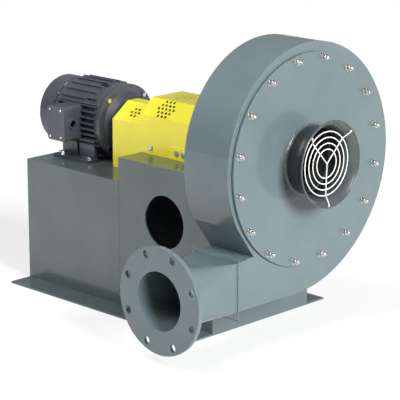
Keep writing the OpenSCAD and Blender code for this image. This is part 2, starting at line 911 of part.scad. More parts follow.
// A split-foot bearing block about the shaft line, centred on x
module bearing_block(x) {
    foot_z = shaft_h - block_h;
    color("slategray") difference() {
        union() {
            span(x - block_w / 2, x + block_w / 2, -block_l / 2, block_l / 2, foot_z, foot_z + block_foot_t);
            across(x - block_body_w / 2, block_body_w) {
                circle(r = block_r, $fn = round_fn);
                polygon([
                    [-block_l * block_waist_share, block_foot_t - block_h],
                    [block_l * block_waist_share, block_foot_t - block_h],
                    [block_l * block_crown_share, 0], [-block_l * block_crown_share, 0]
                ]);
            }
        }
        bore(x - block_body_w / 2, block_body_w, fan_race[3] + fit_gap);
        for (side = [-1, 1]) translate([x, side * block_bolt_span / 2, foot_z - over])
            cylinder(h = block_h, r = block_bolt_d / 2 + bolt_gap, $fn = small_fn);
    }
}

module bearing_block_fan_end() {
    bearing_block(near_x);
}

module bearing_block_drive_end() {
    bearing_block(far_x);
}

// The outer ring of a bearing centred on x; race holds its bore, pitch, ball, outside and width
module outer_ring(x, race) {
    in_r = race[1] + race[2] * land_share;
    turned(x - race[4] / 2) difference() {
        translate([in_r, 0]) square([race[3] - in_r, race[4]]);
        translate([race[1], race[4] / 2]) circle(r = race[2] + ball_gap, $fn = small_fn);
    }
}

// The inner ring of that bearing, with a collar on its drive side if it has a length
module inner_ring(x, race, collar = 0) {
    out_r = race[1] - race[2] * land_share;
    turned(x - race[4] / 2) difference() {
        translate([race[0], -collar]) square([out_r - race[0], race[4] + collar]);
        translate([race[1], race[4] / 2]) circle(r = race[2] + ball_gap, $fn = small_fn);
    }
}

module ball_ring(x, race) {
    on_circle(ball_count, race[1]) translate([x, 0, 0]) sphere(r = race[2], $fn = small_fn);
}

module bearing_outer_rings() {
    color("silver") {
        outer_ring(near_x, fan_race);
        outer_ring(far_x, fan_race);
        outer_ring(drive_race_x, drive_race);
        outer_ring(rear_race_x, rear_race);
    }
}

module fan_bearing_inner_rings() {
    color("silver") {
        inner_ring(near_x, fan_race, collar_l);
        inner_ring(far_x, fan_race, collar_l);
    }
}

module bearing_balls() {
    color("silver") {
        ball_ring(near_x, fan_race);
        ball_ring(far_x, fan_race);
        ball_ring(drive_race_x, drive_race);
        ball_ring(rear_race_x, rear_race);
    }
}

module bearing_block_bolts() {
    color("silver") for (x = [near_x, far_x], side = [-1, 1])
        translate([x, side * block_bolt_span / 2, block_top_z]) {
            translate([0, 0, block_foot_t]) bolt_down(block_bolt_d, block_foot_t + top_t + block_bolt_d);
            translate([0, 0, -top_t]) nut_down(block_bolt_d);
        }
}

// Jaw coupling

// The legs of the spider seen along the shaft, widened by a gap
module spider_legs(gap) {
    for (i = [0 : 2 * jaw_count - 1]) rotate((i + 0.5) * 180 / jaw_count)
        translate([0, -leg_t / 2 - gap]) square([hub_r + gap, leg_t + 2 * gap]);
}

// The three jaws of one hub
module jaws(turn) {
    half_a = 90 / jaw_count;
    difference() {
        for (i = [0 : jaw_count - 1]) {
            a = i * 360 / jaw_count + turn;
            sector([0, 0], hub_r, a - half_a, a + half_a);
        }
        circle(r = jaw_in_r, $fn = round_fn);
        spider_legs(soft_gap / 2);
    }
}

module coupling_hub_fan() {
    color("dimgray") difference() {
        union() {
            ring(fan_end_x, hub_l, shaft_r + fit_gap, hub_r);
            across(motor_end_x + jaw_end_gap, jaw_l - jaw_end_gap) jaws(0);
        }
        keyway(fan_end_x, hub_l, shaft_r, key_w);
    }
}

module coupling_hub_motor() {
    color("dimgray") difference() {
        union() {
            ring(motor_end_x - hub_l, hub_l, motor_shaft_r + fit_gap, hub_r);
            across(motor_end_x, jaw_l - jaw_end_gap) jaws(180 / jaw_count);
        }
        keyway(motor_end_x - hub_l, hub_l, motor_shaft_r, key_w);
    }
}

module coupling_spider() {
    color("black") difference() {
        across(motor_end_x + jaw_end_gap, jaw_l - 2 * jaw_end_gap) {
            circle(r = spider_r, $fn = round_fn);
            intersection() {
                spider_legs(0);
                circle(r = hub_r, $fn = round_fn);
            }
        }
        bore(motor_end_x, jaw_l, spider_bore_r);
    }
}

// Motor

// True where a fin at this angle has room
function has_fin(a) = len([for (f = fin_free) if (a > f[0] && a < f[1]) 1]) == 0;

module motor_foot() {
    x0 = rear_bolt_x - motor_foot_over;
    x1 = front_bolt_x + motor_foot_over;
    span(x0, x1, motor_foot_in, motor_foot_out, motor_top_z, motor_top_z + motor_foot_t);
    for (x = [x0 + web_in, x1 - web_in - web_l])
        span(x, x + web_l, motor_foot_in, motor_foot_in + web_t, motor_top_z, shaft_h - web_drop);
}

// The cooling fins, cut back where the conduit box stands
module motor_fins() {
    difference() {
        for (i = [0 : fin_count - 1]) if (has_fin(i * fin_pitch_a))
            translate([0, 0, shaft_h]) rotate([i * fin_pitch_a, 0, 0])
                span(frame_x0 + fin_end, frame_x1 - fin_end, barrel_r - fin_root, fin_r, -fin_t / 2, fin_t / 2);
        span(box_x0 - soft_gap, box_x1 + soft_gap, -fin_r - over, soft_gap - box_back_y,
            box_z0 - soft_gap, box_z1 + soft_gap);
    }
}

// The smooth shell over the top of the frame, with its ribs and pockets
module motor_shell() {
    difference() {
        union() {
            across(frame_x0 + shell_in, frame_l - 2 * shell_in) difference() {
                sector([0, 0], shell_r, 90 - shell_a, 90 + shell_a);
                circle(r = stator_r, $fn = round_fn);
            }
            for (a = [-4 : 4]) translate([0, 0, shaft_h]) rotate([a * rib_step, 0, 0])
                span(frame_x0 + rib_in, frame_x1 - rib_nose, -rib_w / 2, rib_w / 2, barrel_r - fin_root, rib_r);
        }
        for (a = pocket_turns) translate([0, 0, shaft_h]) rotate([a, 0, 0])
            span(pocket_x, pocket_x + pocket_l, -pocket_w / 2, pocket_w / 2, shell_r - pocket_deep, rib_r + over);
    }
}

module motor_frame() {
    color("darkslategray") difference() {
        union() {
            ring(frame_x0, frame_l, stator_r, barrel_r);
            ring(frame_x0, frame_rim_l, stator_r, frame_rim_r);
            ring(frame_x1 - frame_rim_l, frame_rim_l, stator_r, frame_rim_r);
            motor_fins();
            motor_shell();
            for (side = [0, 1]) mirror([0, side, 0]) motor_foot();
            span(box_x0 + box_pad_over, box_x1 - box_pad_over, -box_back_y, -barrel_r + box_pad_in,
                box_z0 + box_pad_over, box_z1 - box_pad_over);
        }
        bore(frame_x0, frame_l, stator_r);
        on_circle(bell_bolt_count, bell_bolt_r, bell_bolt_turn)
            rod_x(frame_x1 - bell_bolt_in - over, bell_bolt_in + 2 * over, bell_bolt_d / 2 + fit_gap);
        on_circle(bell_bolt_count, rear_bolt_r, bell_bolt_turn)
            rod_x(frame_x0 - over, bell_bolt_in + 2 * over, bell_bolt_d / 2 + fit_gap);
        for (x = [rear_bolt_x, front_bolt_x], side = [-1, 1])
            translate([x, side * motor_bolt_y / 2, motor_top_z - over])
                cylinder(h = motor_foot_t + 2 * over, r = motor_bolt_d / 2 + bolt_gap, $fn = small_fn);
    }
}

module motor_stator() {
    color("silver") ring(core_x, core_l, rotor_r + air_gap, stator_r - fit_gap);
}

module motor_windings() {
    round = winding_round;
    color("peru") for (x = [core_x - winding_l, core_end_x])
        turned(x) translate([winding_in_r, 0]) polygon([
            [0, round], [round, 0], [winding_w - round, 0], [winding_w, round],
            [winding_w, winding_l - round], [winding_w - round, winding_l],
            [round, winding_l], [0, winding_l - round]
        ]);
}

module motor_rotor() {
    color("silver") ring(core_x, core_l, rotor_bore_r + fit_gap, rotor_r);
}

module motor_shaft_key() {
    color("silver") key(motor_end_x - hub_l + key_inset, hub_l - 2 * key_inset, motor_shaft_r, key_w);
}

// A length of round shaft between two x
module journal(x0, x1, r) {
    translate([0, 0, shaft_h]) rod_x(x0, x1 - x0, r, round_fn);
}

module motor_shaft() {
    rear_x = rear_race_x - rear_race[4] / 2;
    drive_x = drive_race_x - drive_race[4] / 2;
    color("silver") difference() {
        union() {
            journal(fan_bell_x - rear_shaft_l, core_x, rear_shaft_r);
            journal(rear_x, core_x, rear_journal_r);
            journal(rear_x + rear_race[4], core_x, rear_step_r);
            journal(core_x, drive_x, rotor_bore_r);
            journal(drive_x, drive_x + drive_race[4], drive_journal_r);
            journal(core_end_x, motor_end_x, motor_shaft_r);
        }
        motor_shaft_key();
    }
}

module motor_bearing_inner_rings() {
    color("silver") {
        inner_ring(drive_race_x, drive_race);
        inner_ring(rear_race_x, rear_race);
    }
}

module motor_drive_endbell() {
    pass_r = motor_shaft_r + shaft_pass_gap;
    seat_r = drive_race[3] + fit_gap;
    seat_end = drive_race_in + drive_race[4];
    wall_r = seat_r + drive_skin;
    color("darkslategray") difference() {
        turned(frame_x1) polygon([
            [stator_r, 0], [drive_rim_r, 0], [drive_rim_r, drive_rim_l], [stator_r, drive_rim_l],
            [drive_slope_r, drive_slope_l], [drive_hub_r, drive_bell_l], [pass_r, drive_bell_l],
            [pass_r, seat_end], [seat_r, seat_end], [seat_r, drive_skin], [wall_r, drive_skin],
            [wall_r, drive_slope_l - drive_race_in], [stator_r - drive_skin, drive_race_in],
            [stator_r - drive_skin, 0]
        ]);
        on_circle(bell_bolt_count, bell_bolt_r, bell_bolt_turn)
            rod_x(frame_x1 - over, drive_rim_l + 2 * over, bell_bolt_d / 2 + bolt_gap);
    }
}

module motor_fan_endbell() {
    pass_r = rear_shaft_r + shaft_pass_gap;
    seat_r = rear_race[3] + fit_gap;
    hub_end = rear_race_in + rear_race[4];
    color("darkslategray") difference() {
        turned(fan_bell_x) polygon([
            [pass_r, 0], [rear_hub_r, 0], [rear_slope_r, rear_skin], [rear_rim_r, rear_skin],
            [rear_rim_r, fan_bell_l], [stator_r, fan_bell_l], [stator_r, 2 * rear_skin],
            [rear_slope_r, 2 * rear_skin], [rear_hub_r, rear_skin + rear_race_in / 2], [rear_hub_r, hub_end],
            [seat_r, hub_end], [seat_r, rear_race_in], [pass_r, rear_race_in]
        ]);
        on_circle(bell_bolt_count, rear_bolt_r, bell_bolt_turn)
            rod_x(fan_bell_x - over, fan_bell_l + 2 * over, bell_bolt_d / 2 + bolt_gap);
    }
}

module motor_cooling_fan() {
    fan_x = fan_bell_x - fin_fan_gap - fin_fan_l;
    color("black") {
        ring(fan_x, fin_fan_l, rear_shaft_r + fit_gap, fin_fan_hub_r);
        ring(fan_x + fin_fan_l - fin_fan_t, fin_fan_t, fin_fan_hub_r - fin_fan_t, fin_fan_r * fin_fan_disc_share);
        on_circle(fin_fan_blades, fin_fan_hub_r - fin_fan_t)
            span(fan_x, fan_x + fin_fan_l, 0, fin_fan_r - fin_fan_hub_r + fin_fan_t, -fin_fan_t / 2, fin_fan_t / 2);
    }
}

module motor_fan_cover() {
    rear_x = fan_cover_x - fan_cover_l;
    flat_r = fan_cover_r - fan_cover_round;
    color("darkslategray") difference() {
        turned(rear_x) {
            square([flat_r, fan_cover_t]);
            band([flat_r, fan_cover_round], fan_cover_round, fan_cover_t, -90, 0);
            translate([fan_cover_r - fan_cover_t, fan_cover_round])
                square([fan_cover_t, fan_cover_l - fan_cover_round]);
        }
        difference() {
            for (i = [0 : fan_slot_count - 1])
                ring(rear_x - over, fan_cover_t + 2 * over, fan_slot_first_r + i * fan_slot_pitch,
                    fan_slot_first_r + i * fan_slot_pitch + fan_slot_w);
            on_circle(fan_slot_bars, 0, bell_bolt_turn)
                span(rear_x - 2 * over, rear_x + fan_cover_t + 2 * over, 0, fan_cover_r,
                    -fan_slot_bar / 2, fan_slot_bar / 2);
        }
    }
}

// Bolts of one endbell, their heads on the face at x, pointing the way of the sign
module bell_bolts(x, r, len, sign) {
    head_t = bell_bolt_d * head_share;
    on_circle(bell_bolt_count, r, bell_bolt_turn) {
        hex_x(sign > 0 ? x - head_t : x, head_t, bell_bolt_d);
        rod_x(sign > 0 ? x - slice_t : x - len, len + slice_t, bell_bolt_d / 2);
    }
}

module motor_endbell_bolts() {
    color("silver") {
        bell_bolts(frame_x1 + drive_rim_l, bell_bolt_r, drive_rim_l + bell_bolt_in, -1);
        bell_bolts(fan_bell_x + rear_skin, rear_bolt_r, fan_bell_l - rear_skin + bell_bolt_in, 1);
    }
}

module motor_foot_bolts() {
    color("silver") for (x = [rear_bolt_x, front_bolt_x], side = [-1, 1])
        translate([x, side * motor_bolt_y / 2, motor_top_z]) {
            translate([0, 0, motor_foot_t]) bolt_down(motor_bolt_d, motor_foot_t + top_t + motor_bolt_d);
            translate([0, 0, -top_t]) nut_down(motor_bolt_d);
        }
}

// The conduit box's rounded outline, drawn in by a depth, between two y
module box_block(in, y0, y1) {
    round = box_round - in;
    for (x = [box_x0 + box_round, box_x1 - box_round], z = [box_z0 + box_round, box_z1 - box_round])
        translate([x, 0, z]) rod_y(y0, y1 - y0, round);
    span(box_x0 + box_round, box_x1 - box_round, y0, y1, box_z0 + in, box_z1 - in);
    span(box_x0 + in, box_x1 - in, y0, y1, box_z0 + box_round, box_z1 - box_round);
}

module conduit_box() {
    lid_y = -box_out + box_lid_l;
    color("darkslategray") difference() {
        union() {
            box_block(0, lid_y, -box_back_y);
            translate([0, -box_out + box_hub_in, shaft_h]) rod_x(box_x1 - box_wall, box_wall + box_hub_l, box_hub_r);
        }
        box_block(box_wall, lid_y - over, -box_back_y - box_wall);
        translate([0, -box_out + box_hub_in, shaft_h])
            rod_x(box_x1 - 2 * box_wall, 2 * box_wall + box_hub_l + over, box_hub_bore_r);
    }
}

module conduit_box_lid() {
    lid_y = -box_out + box_lid_l;
    color("darkslategray") difference() {
        box_block(0, -box_out, lid_y);
        box_block(box_wall, -box_out + box_wall, lid_y + over);
    }
}

// Guards

// The folded section of a guard whose feet stand a given drop below the shaft
module guard_section(w, h, top_w, fold_h, drop, inset = 0) {
    bend = inset * fold_share;
    polygon([
        [-w / 2 + inset, -drop - (inset > 0 ? over : 0)], [-w / 2 + inset, fold_h - bend],
        [-top_w / 2 + bend, h - inset], [top_w / 2 - bend, h - inset],
        [w / 2 - inset, fold_h - bend], [w / 2 - inset, -drop - (inset > 0 ? over : 0)]
    ]);
}

// Rows of vent holes in a honeycomb, drilled along z, with this many in the middle row
module vents(middle) {
    rows = (middle - 1) / 2;
    for (j = [-rows : rows], i = [0 : middle - 1 - abs(j)])
        translate([(i - (middle - 1 - abs(j)) / 2) * vent_pitch, j * vent_pitch * vent_row_share, -vent_d])
            cylinder(h = 2 * vent_d, d = vent_d, $fn = vent_fn);
}

// Vents in the two sloping faces of a guard, x along the shaft
module slope_vents(x, w, h, top_w, fold_h, middle) {
    slope = atan2(h - fold_h, (w - top_w) / 2);
    for (side = [0, 1]) mirror([0, side, 0])
        translate([x, -(w + top_w) / 4, shaft_h + (h + fold_h) / 2]) rotate([slope, 0, 0]) vents(middle);
}

module coupling_guard() {
    color("gold") difference() {
        across(link_guard_x, seam_x - link_guard_x) difference() {
            guard_section(link_guard_w, link_guard_h, link_top_w, link_fold_h, motor_h);
            guard_section(link_guard_w, link_guard_h, link_top_w, link_fold_h, motor_h, guard_t);
        }
        slope_vents(seam_x - link_vent_x, link_guard_w, link_guard_h, link_top_w, link_fold_h, link_vent_rows);
    }
}

module bearing_guard() {
    color("gold") difference() {
        union() {
            across(seam_x, block_guard_x1 - seam_x) difference() {
                guard_section(block_guard_w, block_guard_h, block_top_w, block_fold_h, block_h);
                guard_section(block_guard_w, block_guard_h, block_top_w, block_fold_h, block_h, guard_t);
            }
            across(seam_x, guard_t) difference() {
                guard_section(block_guard_w, block_guard_h, block_top_w, block_fold_h, block_h);
                guard_section(link_guard_w, link_guard_h, link_top_w, link_fold_h, block_h, guard_t);
            }
        }
        slope_vents(seam_x + block_vent_x, block_guard_w, block_guard_h, block_top_w, block_fold_h, block_vent_rows);
        translate([seam_x + block_vent_x, 0, shaft_h + block_guard_h]) vents(block_vent_rows);
        for (side = [0, 1]) mirror([0, side, 0]) for (x = screw_x)
            translate([seam_x + x, 0, block_top_z + screw_up])
                rod_y(-block_guard_w / 2 - over, guard_t + 2 * over, screw_d / 2 + bolt_gap);
    }
}

module guard_access_tab() {
    y = -block_guard_w / 2;
    x = seam_x + tab_x;
    color("gold") difference() {
        span(x, x + tab_w, y - tab_t, y, block_top_z, block_top_z + tab_h);
        for (i = [1, 2]) translate([seam_x + screw_x[i], 0, block_top_z + screw_up])
            rod_y(y - tab_t - over, tab_t + 2 * over, screw_d / 2 + bolt_gap);
    }
}

// An angle bracket standing inside the bearing guard between two x, drilled for its screws
module bracket(x0, x1) {
    y = -block_guard_w / 2 + guard_t;
    difference() {
        union() {
            span(x0, x1, y, y + bracket_t, block_top_z, block_top_z + bracket_h);
            span(x0, x1, y, y + bracket_foot, block_top_z, block_top_z + bracket_t);
        }
        for (x = screw_x) translate([seam_x + x, 0, block_top_z + screw_up])
            rod_y(y - over, bracket_t + 2 * over, screw_d / 2 + fit_gap);
    }
}

module guard_brackets() {
    color("dimgray") for (side = [0, 1]) mirror([0, side, 0]) {
        bracket(seam_x + screw_x[0] - bracket_side, seam_x + screw_x[0] + bracket_side);
        bracket(seam_x + screw_x[1] - bracket_side, seam_x + screw_x[2] + bracket_side);
    }
}

// A screw at x with its head standing a given height off the guard's side
module guard_screw(x, off) {
    y = -block_guard_w / 2 - off;
    translate([seam_x + x, 0, block_top_z + screw_up]) {
        rod_y(y - screw_head_t, screw_head_t, screw_head_r);
        rod_y(y - screw_head_t / 2, screw_l + off, screw_d / 2);
    }
}

module guard_screws() {
    color("silver") {
        guard_screw(screw_x[0], 0);
        guard_screw(screw_x[1], tab_t);
        guard_screw(screw_x[2], tab_t);
        mirror([0, 1, 0]) for (x = screw_x) guard_screw(x, 0);
    }
}

// Pedestal

module motor_base_top() {
    color("slategray") difference() {
        span(end_x, seam_x, -base_w / 2, base_w / 2, motor_top_z - top_t, motor_top_z);
        for (x = [rear_bolt_x, front_bolt_x], side = [-1, 1])
            translate([x, side * motor_bolt_y / 2, motor_top_z - top_t - over])
                cylinder(h = top_t + 2 * over, r = motor_bolt_d / 2 + bolt_gap, $fn = small_fn);
    }
}

// A long wall of the pedestal with its floor flange, on the front side
module long_wall(x0, x1, top_z, hole_x) {
    difference() {
        union() {
            span(x0, x1, -base_w / 2, wall_t - base_w / 2, 0, top_z);
            span(x0, x1, -base_w / 2 - foot_w, wall_t - base_w / 2, 0, wall_t);
        }
        for (x = hole_x) translate([x, -foot_y, -over])
            cylinder(h = wall_t + 2 * over, d = foot_hole_d, $fn = small_fn);
    }
}

module motor_base_walls() {
    top_z = motor_top_z - top_t;
    color("slategray") {
        for (side = [0, 1]) mirror([0, side, 0])
            long_wall(end_x, seam_x, top_z, [end_x + foot_end_inset, seam_x - foot_seam_inset]);
        span(end_x, end_x + wall_t, -base_w / 2, base_w / 2, 0, top_z);
    }
}

module bearing_base_top() {
    color("slategray") difference() {
        span(seam_x, back_x, -base_w / 2, base_w / 2, block_top_z - top_t, block_top_z);
        for (x = [near_x, far_x], side = [-1, 1])
            translate([x, side * block_bolt_span / 2, block_top_z - top_t - over])
                cylinder(h = top_t + 2 * over, r = block_bolt_d / 2 + bolt_gap, $fn = small_fn);
    }
}

module bearing_base_front_wall() {
    color("slategray") difference() {
        long_wall(seam_x, back_x, block_top_z - top_t, [seam_x + foot_seam_inset, back_x - foot_fan_inset]);
        translate([back_x - access_in, -base_w / 2 - over, shaft_h - access_drop]) rotate([-90, 0, 0])
            cylinder(h = wall_t + 2 * over, d = access_d, $fn = round_fn);
    }
}

module bearing_base_back_wall() {
    color("slategray") mirror([0, 1, 0])
        long_wall(seam_x, back_x, block_top_z - top_t, [seam_x + foot_seam_inset, back_x - foot_fan_inset]);
}

module bearing_base_end_walls() {
    in_y = base_w / 2 - wall_t;
    color("slategray") for (x = [seam_x, back_x - wall_t])
        span(x, x + wall_t, -in_y, in_y, 0, block_top_z - top_t);
}

scroll_wrap();
scroll_back_plate();
scroll_front_plate();
cutoff_plate();
outlet_transition();
outlet_flange();
cover_gasket();
inlet_cover_plate();
inlet_bell();
inlet_cone();
inlet_wire_guard();
cover_studs();
cover_washers();
cover_nuts();
shaft_seal_plate();
shaft_seal_felt();
wheel_backplate();
wheel_shroud();
wheel_blades();
wheel_hub();
wheel_hub_bolts();
wheel_end_washer();
wheel_end_bolt();
fan_shaft();
fan_shaft_keys();
bearing_block_fan_end();
bearing_block_drive_end();
bearing_outer_rings();
fan_bearing_inner_rings();
bearing_balls();
bearing_block_bolts();
coupling_hub_fan();
coupling_hub_motor();
coupling_spider();
motor_frame();
motor_stator();
motor_windings();
motor_rotor();
motor_shaft();
motor_shaft_key();
motor_bearing_inner_rings();
motor_drive_endbell();
motor_fan_endbell();
motor_cooling_fan();
motor_fan_cover();
motor_endbell_bolts();
motor_foot_bolts();
conduit_box();
conduit_box_lid();
coupling_guard();
bearing_guard();
guard_access_tab();
guard_brackets();
guard_screws();
motor_base_top();
motor_base_walls();
bearing_base_top();
bearing_base_front_wall();
bearing_base_back_wall();
bearing_base_end_walls();
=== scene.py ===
# High-pressure radial blower: finishes, welds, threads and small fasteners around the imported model.
# Metres, in the model's own frame: +X along the shaft to the inlet, -Y the outlet, +Z up from the floor.
import math

import bmesh
import bpy
from mathutils import Matrix, Vector


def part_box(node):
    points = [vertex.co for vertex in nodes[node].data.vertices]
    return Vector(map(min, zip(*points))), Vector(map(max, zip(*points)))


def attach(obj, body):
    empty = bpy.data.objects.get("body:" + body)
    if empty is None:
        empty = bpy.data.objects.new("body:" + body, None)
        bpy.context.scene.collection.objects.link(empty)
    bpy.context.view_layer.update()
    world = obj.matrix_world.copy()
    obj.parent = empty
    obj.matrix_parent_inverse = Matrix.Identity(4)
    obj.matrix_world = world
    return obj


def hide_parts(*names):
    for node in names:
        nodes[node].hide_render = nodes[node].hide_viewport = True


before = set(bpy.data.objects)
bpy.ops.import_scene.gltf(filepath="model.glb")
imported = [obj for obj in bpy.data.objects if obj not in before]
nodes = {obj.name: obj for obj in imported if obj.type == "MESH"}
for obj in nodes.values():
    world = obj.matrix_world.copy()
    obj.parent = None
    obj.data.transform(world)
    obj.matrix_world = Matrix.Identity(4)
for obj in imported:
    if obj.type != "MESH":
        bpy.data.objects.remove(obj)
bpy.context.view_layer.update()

MM = 0.001
STATIC = "stand_and_housing"


# ---- Places read from the frame ----

def middle(node):
    """The middle of a node's box."""
    low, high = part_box(node)
    return (low + high) / 2


SHAFT_Z = middle("fan_shaft").z
SHAFT = Vector((0, 0, SHAFT_Z))
X, Y = Vector((1, 0, 0)), Vector((0, 1, 0))
SAME_PLACE = 0.02 * MM


def joined_mesh(node):
    """A node's mesh with its doubled points joined."""
    bm = bmesh.new()
    bm.from_mesh(nodes[node].data)
    bmesh.ops.remove_doubles(bm, verts=bm.verts, dist=SAME_PLACE)
    return bm


def solids(node):
    """The lowest and highest corner of each separate solid of a node."""
    bm = joined_mesh(node)
    left, found = set(bm.verts), []
    while left:
        group, edge = set(), {left.pop()}
        while edge:
            v = edge.pop()
            group.add(v)
            edge |= {e.other_vert(v) for e in v.link_edges} - group
        left -= group
        found.append(tuple(Vector(pick(v.co[i] for v in group) for i in range(3)) for pick in (min, max)))
    bm.free()
    return found


# ---- Finishes ----

def tint(r, g, b):
    """A display colour from 0 to 255 as a linear one."""
    return tuple(((c / 255 + 0.055) / 1.055) ** 2.4 for c in (r, g, b)) + (1,)


class Finish:
    """A procedural material, built up from noise in the object's own space."""

    def __init__(self, name, **sockets):
        self.material = bpy.data.materials.new(name)
        self.material.use_nodes = True
        self.tree = self.material.node_tree
        self.shader = self.tree.nodes["Principled BSDF"]
        self.place = self.add("TexCoord").outputs["Object"]
        for socket, value in sockets.items():
            self.shader.inputs[socket.replace("_", " ")].default_value = value

    def add(self, kind, settings=None, **inputs):
        """A node of that kind, with its settings and its inputs, each a value or another node's output."""
        node = self.tree.nodes.new("ShaderNode" + kind)
        for key, value in (settings or {}).items():
            setattr(node, key, value)
        for key, value in inputs.items():
            socket = node.inputs[int(key[1:]) if key[1:].isdigit() else key.replace("_", " ")]
            if isinstance(value, bpy.types.NodeSocket):
                self.tree.links.new(value, socket)
            else:
                socket.default_value = value
        return node

    def noise(self, size, detail=3, stretch=None):
        """Noise with features of that size in metres, from 0 to 1."""
        where = self.place
        if stretch:
            where = self.add("Mapping", Vector=where, Scale=stretch).outputs[0]
        return self.add("TexNoise", Vector=where, Scale=1 / size, Detail=detail).outputs["Fac"]

    def ramp(self, value, low, high, to_low=0.0, to_high=1.0):
        """A value between low and high mapped to another range."""
        return self.add("MapRange", i0=value, i1=low, i2=high, i3=to_low, i4=to_high).outputs[0]

    def maths(self, operation, a, b=0.0):
        return self.add("Math", {"operation": operation}, i0=a, i1=b).outputs[0]

    def vector(self, operation, a, b=(0, 0, 0), output="Vector"):
        return self.add("VectorMath", {"operation": operation}, i0=a, i1=b).outputs[output]

    def mix(self, share, a, b):
        """Colour a passing into colour b."""
        return self.add("Mix", {"data_type": "RGBA"}, i0=share, i6=a, i7=b).outputs[2]

    def edges(self, width):
        """1 on sharp edges within that width, 0 elsewhere."""
        round_normal = self.add("Bevel", {"samples": 4}, Radius=width).outputs[0]
        flat_normal = self.add("NewGeometry").outputs["Normal"]
        turn = self.vector("DOT_PRODUCT", round_normal, flat_normal, "Value")
        return self.ramp(turn, 0.995, 0.8)

    def facing_up(self):
        """1 on level tops, 0 on walls."""
        normal = self.add("NewGeometry").outputs["Normal"]
        return self.ramp(self.add("SeparateXYZ", i0=normal).outputs["Z"], 0.6, 1.0)

    def outward(self):
        """1 where the surface faces away from the shaft line, 0 where it faces the line."""
        normal = self.add("NewGeometry").outputs["Normal"]
        spread = self.vector("MULTIPLY", self.vector("SUBTRACT", self.place, SHAFT), (0, 1, 1))
        turn = self.vector("DOT_PRODUCT", self.vector("NORMALIZE", spread), normal, "Value")
        return self.ramp(turn, -0.05, 0.05)

    def along(self, low, high):
        """0 before the lower x, 1 past the higher one."""
        return self.ramp(self.add("SeparateXYZ", i0=self.place).outputs["X"], low, high)

    def bump(self, *layers):
        """Bump from layers of (height, depth in metres), over edges rounded by the finish."""
        normal = self.add("Bevel", {"samples": 4}, Radius=0.8 * MM).outputs[0]
        for height, depth in layers:
            normal = self.add("Bump", Strength=1.0, Distance=depth, Height=height, Normal=normal).outputs[0]
        self.link(normal, "Normal")

    def link(self, output, socket):
        self.tree.links.new(output, self.shader.inputs[socket])


def enamel(name, colour, deep, edge_wear_and_highlight, gloss=(0.22, 0.34), peel=0.04, grain=0.0, dust=0.06, coat=0.45):
    """Gloss paint: soft patches, orange peel, thin dust on tops, and edges painted lighter, as rubbed paint
    and as a painted highlight.
    """
    f = Finish(name, Coat_Weight=coat, Coat_Roughness=0.08)
    patches = f.noise(180 * MM, 4)
    blotches = f.noise(22 * MM, 3)
    body = f.mix(f.ramp(patches, 0.35, 0.7), colour, deep)
    body = f.mix(f.ramp(blotches, 0.5, 0.8, 0.0, 0.25), body, deep)
    # Edges painted lighter: rubbed paint, and also a painted highlight along every edge.
    rub_and_highlight = f.maths("MULTIPLY", f.edges(1.6 * MM), f.ramp(f.noise(14 * MM, 4), 0.38, 0.62))
    body = f.mix(f.maths("MULTIPLY", rub_and_highlight, 0.55), body, edge_wear_and_highlight)
    film = f.maths("MULTIPLY", f.facing_up(), f.ramp(f.noise(60 * MM, 5), 0.4, 0.75, 0.0, dust))
    body = f.mix(film, body, tint(176, 178, 172))
    f.link(body, "Base Color")
    rough = f.maths("ADD", f.ramp(patches, 0.3, 0.7, *gloss), f.maths("MULTIPLY", film, 1.5))
    f.link(f.maths("ADD", rough, f.ramp(blotches, 0.4, 0.7, 0.0, 0.04)), "Roughness")
    layers = [(f.noise(3.2 * MM, 2), peel * MM)]
    if grain:
        layers.append((f.noise(1.4 * MM, 3), grain * MM))
    f.bump(*layers)
    return f.material


def bell_enamel_shade_and_highlight():
    """The housing's paint on the inlet bell, darkened on the flare as painted shade, with a very dark
    painted shade round its neck and deep in its throat, and a painted highlight on its edges.
    """
    f = Finish("bell_enamel_shade_and_highlight", Coat_Weight=0.4, Coat_Roughness=0.08)
    low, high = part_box("inlet_bell")
    patches = f.noise(60 * MM, 4)
    # The flare's colour, darker than the housing paint: painted shade on the flare.
    light = f.mix(f.ramp(patches, 0.35, 0.7), tint(74, 82, 84), tint(62, 70, 72))
    # A very dark colour: painted shade for the outside of the neck and for the deep throat.
    shade_dark = f.mix(f.ramp(patches, 0.35, 0.7), tint(40, 43, 45), tint(30, 32, 34))
    # The painted shade on the neck stops short of the rim and the root, which keep the flare's colour.
    rim = f.along(high.x - 7 * MM, high.x - 4 * MM)
    neck = f.maths("MULTIPLY", f.outward(), f.maths("SUBTRACT", 1.0, rim))
    root = f.along(low.x + 7 * MM, low.x + 4 * MM)
    deep = f.maths("SUBTRACT", 1.0, f.along(low.x + 14 * MM, low.x + 40 * MM))
    inner = f.maths("MULTIPLY", f.maths("SUBTRACT", 1.0, f.outward()), deep)
    shade = f.maths("MAXIMUM", f.maths("MULTIPLY", neck, f.maths("SUBTRACT", 1.0, root)), inner)
    # Painted highlight on the bell's edges, strongest on the rim, broken up by noise.
    rub_and_highlight = f.maths("MULTIPLY", f.edges(1.2 * MM), f.ramp(f.noise(9 * MM, 4), 0.38, 0.62, 0.0, 0.6))
    f.link(f.mix(rub_and_highlight, f.mix(shade, light, shade_dark), tint(186, 194, 196)), "Base Color")
    f.link(f.ramp(patches, 0.3, 0.7, 0.22, 0.36), "Roughness")
    f.bump((f.noise(3.2 * MM, 2), 0.05 * MM))
    return f.material


